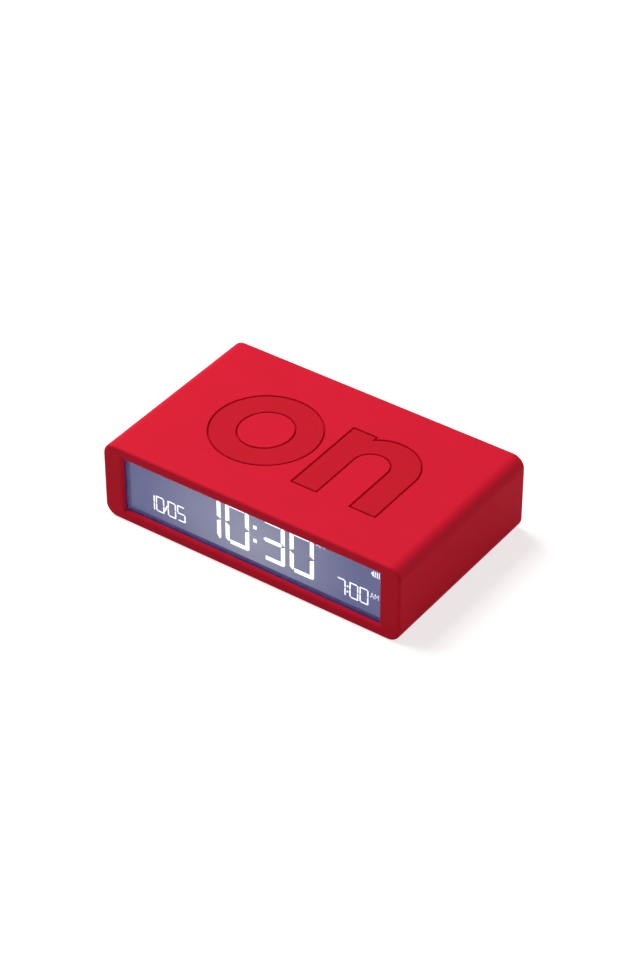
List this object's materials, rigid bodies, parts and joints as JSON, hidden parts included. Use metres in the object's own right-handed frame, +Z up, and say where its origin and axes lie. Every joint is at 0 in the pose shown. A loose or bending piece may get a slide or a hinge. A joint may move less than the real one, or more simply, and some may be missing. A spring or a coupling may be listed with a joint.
{
  "type": "digital alarm clock",
  "caption": "Reversible block-shaped digital alarm clock with a wide display in its front; the alarm is armed or off by which large face lies up, and the rear has keys and a battery door.",
  "frame": {"origin": "middle of the bottom face, on which the clock lies", "axes": "+X to the right of someone who reads the display, +Y from the front to the rear, +Z up"},
  "size_m": [0.11, 0.068, 0.0275],
  "materials": {
    "red_soft_touch": "soft-touch coated ABS",
    "red_key": "moulded ABS, satin",
    "clear_window": "clear acrylic sheet",
    "navy_moulding": "moulded, matt",
    "display_film": "polarising film",
    "display_glass": "polished",
    "light_guide": "clear acrylic",
    "white_sheet": "white film",
    "lamp_resin": "moulded resin",
    "black_rubber": "moulded",
    "circuit_board": "solder mask on glass laminate",
    "black_resin": "moulded resin",
    "nickel_plate": "nickel plated",
    "gold_plate": "bare",
    "white_moulding": "moulded",
    "cell_can": "printed film on a metal can",
    "red_insulation": "extruded",
    "black_insulation": "extruded",
    "grey_ribbon": "flat cable"
  },
  "bodies": {
    "root": {"housing": "red_soft_touch", "rear_panel": "red_soft_touch", "display_window": "clear_window", "display_frame": "navy_moulding", "front_polariser": "display_film", "rear_polariser": "display_film", "lcd_front_glass": "display_glass", "lcd_rear_glass": "display_glass", "light_guide": "light_guide", "reflector_sheet": "white_sheet", "backlight_leds": "lamp_resin", "zebra_strips": "black_rubber", "main_board": "circuit_board", "key_board": "circuit_board", "chip_blob": "black_resin", "switch_bodies": "black_resin", "reset_switch": "black_resin", "buzzer": "black_resin", "tilt_header": "black_resin", "quartz_crystal": "nickel_plate", "tilt_can": "nickel_plate", "chassis_screws": "nickel_plate", "positive_plate": "nickel_plate", "negative_plate": "nickel_plate", "negative_spring": "nickel_plate", "bridge_plate": "nickel_plate", "bridge_spring": "nickel_plate", "board_screws": "nickel_plate", "panel_screws": "nickel_plate", "upper_touch_foil": "gold_plate", "lower_touch_foil": "gold_plate", "touch_contacts": "gold_plate", "chassis": "white_moulding", "ribbon_sockets": "white_moulding", "upper_cell": "cell_can", "lower_cell": "cell_can", "red_lead": "red_insulation", "black_lead": "black_insulation", "ribbon_cable": "grey_ribbon"},
    "door": {"battery_door": "red_soft_touch"},
    "tilt_ball": {"tilt_ball": "gold_plate"},
    "reset_button": {"reset_plunger": "white_moulding"},
    "mode_button": {"mode_key": "red_key", "mode_plunger": "white_moulding"},
    "set_button": {"set_key": "red_key", "set_plunger": "white_moulding"},
    "plus_button": {"plus_key": "red_key", "plus_plunger": "white_moulding"},
    "minus_button": {"minus_key": "red_key", "minus_plunger": "white_moulding"}
  },
  "joints": [
    {"name": "door_tilt", "type": "hinge", "parent": "root", "child": "door", "pos_m": [-0.0523, 0.0326, 0.01375], "axis": [0, 0, 1], "range_deg": [0, 60]},
    {"name": "tilt_ball_roll", "type": "slide", "parent": "root", "child": "tilt_ball", "axis": [0, 0, 1], "range_m": [0, 0.003]},
    {"name": "mode_press", "type": "slide", "parent": "root", "child": "mode_button", "axis": [0, -1, 0], "range_m": [0, 0.0005], "stiffness_N_per_m": 300},
    {"name": "set_press", "type": "slide", "parent": "root", "child": "set_button", "axis": [0, -1, 0], "range_m": [0, 0.0005], "stiffness_N_per_m": 300},
    {"name": "plus_press", "type": "slide", "parent": "root", "child": "plus_button", "axis": [0, -1, 0], "range_m": [0, 0.0005], "stiffness_N_per_m": 300},
    {"name": "minus_press", "type": "slide", "parent": "root", "child": "minus_button", "axis": [0, -1, 0], "range_m": [0, 0.0005], "stiffness_N_per_m": 300},
    {"name": "reset_press", "type": "slide", "parent": "root", "child": "reset_button", "axis": [0, -1, 0], "range_m": [0, 0.0003], "stiffness_N_per_m": 300}
  ]
}
